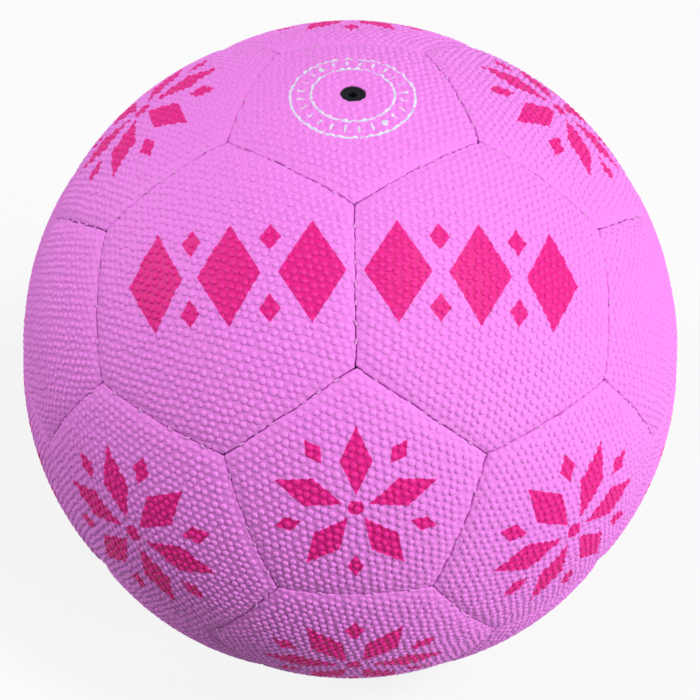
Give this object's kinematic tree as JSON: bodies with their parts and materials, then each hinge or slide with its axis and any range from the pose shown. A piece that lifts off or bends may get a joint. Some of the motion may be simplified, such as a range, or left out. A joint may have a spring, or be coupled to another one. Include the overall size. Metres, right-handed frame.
{
  "type": "netball",
  "caption": "Pink inflatable netball of stitched pentagon and hexagon pebble-grain rubber panels over an air bladder, with a black needle valve.",
  "frame": {"origin": "centre of the ball", "axes": "+Z out through the valve, and a pentagon panel faces towards -Y, up by about 27 degrees"},
  "size_m": [0.2212, 0.2224, 0.2227],
  "materials": {
    "panel_rubber": "pebble grain, satin",
    "lining_cloth": "woven",
    "patch_cloth": "woven",
    "seam_thread": "waxed",
    "bladder_rubber": "satin",
    "valve_rubber": "matt"
  },
  "bodies": {
    "root": {"valve_panel": "panel_rubber", "pentagon_panel_02": "panel_rubber", "pentagon_panel_03": "panel_rubber", "pentagon_panel_04": "panel_rubber", "pentagon_panel_05": "panel_rubber", "pentagon_panel_06": "panel_rubber", "pentagon_panel_07": "panel_rubber", "pentagon_panel_08": "panel_rubber", "pentagon_panel_09": "panel_rubber", "pentagon_panel_10": "panel_rubber", "pentagon_panel_11": "panel_rubber", "pentagon_panel_12": "panel_rubber", "hexagon_panel_01": "panel_rubber", "hexagon_panel_02": "panel_rubber", "hexagon_panel_03": "panel_rubber", "hexagon_panel_04": "panel_rubber", "hexagon_panel_05": "panel_rubber", "hexagon_panel_06": "panel_rubber", "hexagon_panel_07": "panel_rubber", "hexagon_panel_08": "panel_rubber", "hexagon_panel_09": "panel_rubber", "hexagon_panel_10": "panel_rubber", "hexagon_panel_11": "panel_rubber", "hexagon_panel_12": "panel_rubber", "hexagon_panel_13": "panel_rubber", "hexagon_panel_14": "panel_rubber", "hexagon_panel_15": "panel_rubber", "hexagon_panel_16": "panel_rubber", "hexagon_panel_17": "panel_rubber", "hexagon_panel_18": "panel_rubber", "hexagon_panel_19": "panel_rubber", "hexagon_panel_20": "panel_rubber", "valve_panel_lining": "lining_cloth", "pentagon_linings": "lining_cloth", "hexagon_linings": "lining_cloth", "valve_patch": "patch_cloth", "hexagon_seam_stitching": "seam_thread", "pentagon_seam_stitching": "seam_thread", "bladder": "bladder_rubber", "valve_housing": "valve_rubber", "valve_plug": "valve_rubber"}
  },
  "joints": []
}
